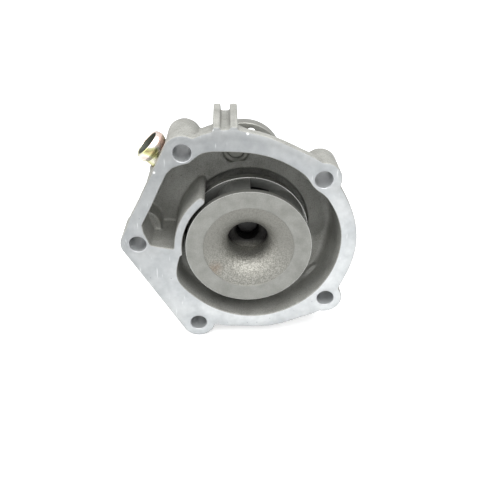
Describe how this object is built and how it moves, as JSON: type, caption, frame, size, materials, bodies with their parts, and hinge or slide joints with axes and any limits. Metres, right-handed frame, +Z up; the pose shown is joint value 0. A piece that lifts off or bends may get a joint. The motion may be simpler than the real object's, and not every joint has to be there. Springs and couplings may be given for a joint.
{
  "type": "engine water pump",
  "caption": "Cast engine water pump with a spiral chamber open at its mounting face, a closed impeller, a hose nipple and a hub for the fan and pulley.",
  "frame": {"origin": "where the shaft line meets the plane of the mounting face", "axes": "+Y along the shaft from the mounting face to the hub, +Z up as in the picture, +X to the right when the mounting face is looked at"},
  "size_m": [0.121, 0.1265, 0.1224],
  "materials": {
    "cast_aluminium": "as cast, with machined faces",
    "plug_steel": "dull",
    "yellow_zinc": "yellow zinc plate",
    "grey_iron": "as cast, with machined rim and ring",
    "spindle_steel": "ground",
    "hub_iron": "machined",
    "bearing_steel": "ground",
    "ball_steel": "polished",
    "cage_nylon": "moulded",
    "black_rubber": "matte",
    "spring_steel": "oiled",
    "case_brass": "drawn sheet",
    "carbon": "lapped carbon",
    "ceramic": "lapped ceramic"
  },
  "bodies": {
    "housing": {"pump_housing": "cast_aluminium", "bolt_lobes": "cast_aluminium", "core_plug": "plug_steel", "hose_nipple": "yellow_zinc", "bearing_ring": "bearing_steel", "front_bearing_seal": "black_rubber", "rear_bearing_seal": "black_rubber", "snap_ring": "spring_steel", "seal_case": "case_brass", "seal_bellows": "black_rubber", "bellows_ferrule": "case_brass", "seal_spring": "spring_steel", "carbon_ring": "carbon"},
    "rotor": {"impeller": "grey_iron", "spindle": "spindle_steel", "hub_flange": "hub_iron", "seal_seat": "ceramic", "seat_cup": "black_rubber", "slinger": "black_rubber"},
    "front_ball_set": {"front_balls": "ball_steel", "front_cage": "cage_nylon"},
    "rear_ball_set": {"rear_balls": "ball_steel", "rear_cage": "cage_nylon"}
  },
  "joints": [
    {"name": "shaft_spin", "type": "hinge", "parent": "housing", "child": "rotor", "pos_m": [0, 0.082, 0], "axis": [0, 1, 0], "continuous": true},
    {"name": "front_ball_spin", "type": "hinge", "parent": "housing", "child": "front_ball_set", "pos_m": [0, 0.07, 0], "axis": [0, 1, 0], "continuous": true},
    {"name": "rear_ball_spin", "type": "hinge", "parent": "housing", "child": "rear_ball_set", "pos_m": [0, 0.094, 0], "axis": [0, 1, 0], "continuous": true}
  ],
  "couplings": [
    {"joint": "front_ball_spin", "follows": "shaft_spin", "ratio": 0.35714},
    {"joint": "rear_ball_spin", "follows": "shaft_spin", "ratio": 0.35714}
  ]
}
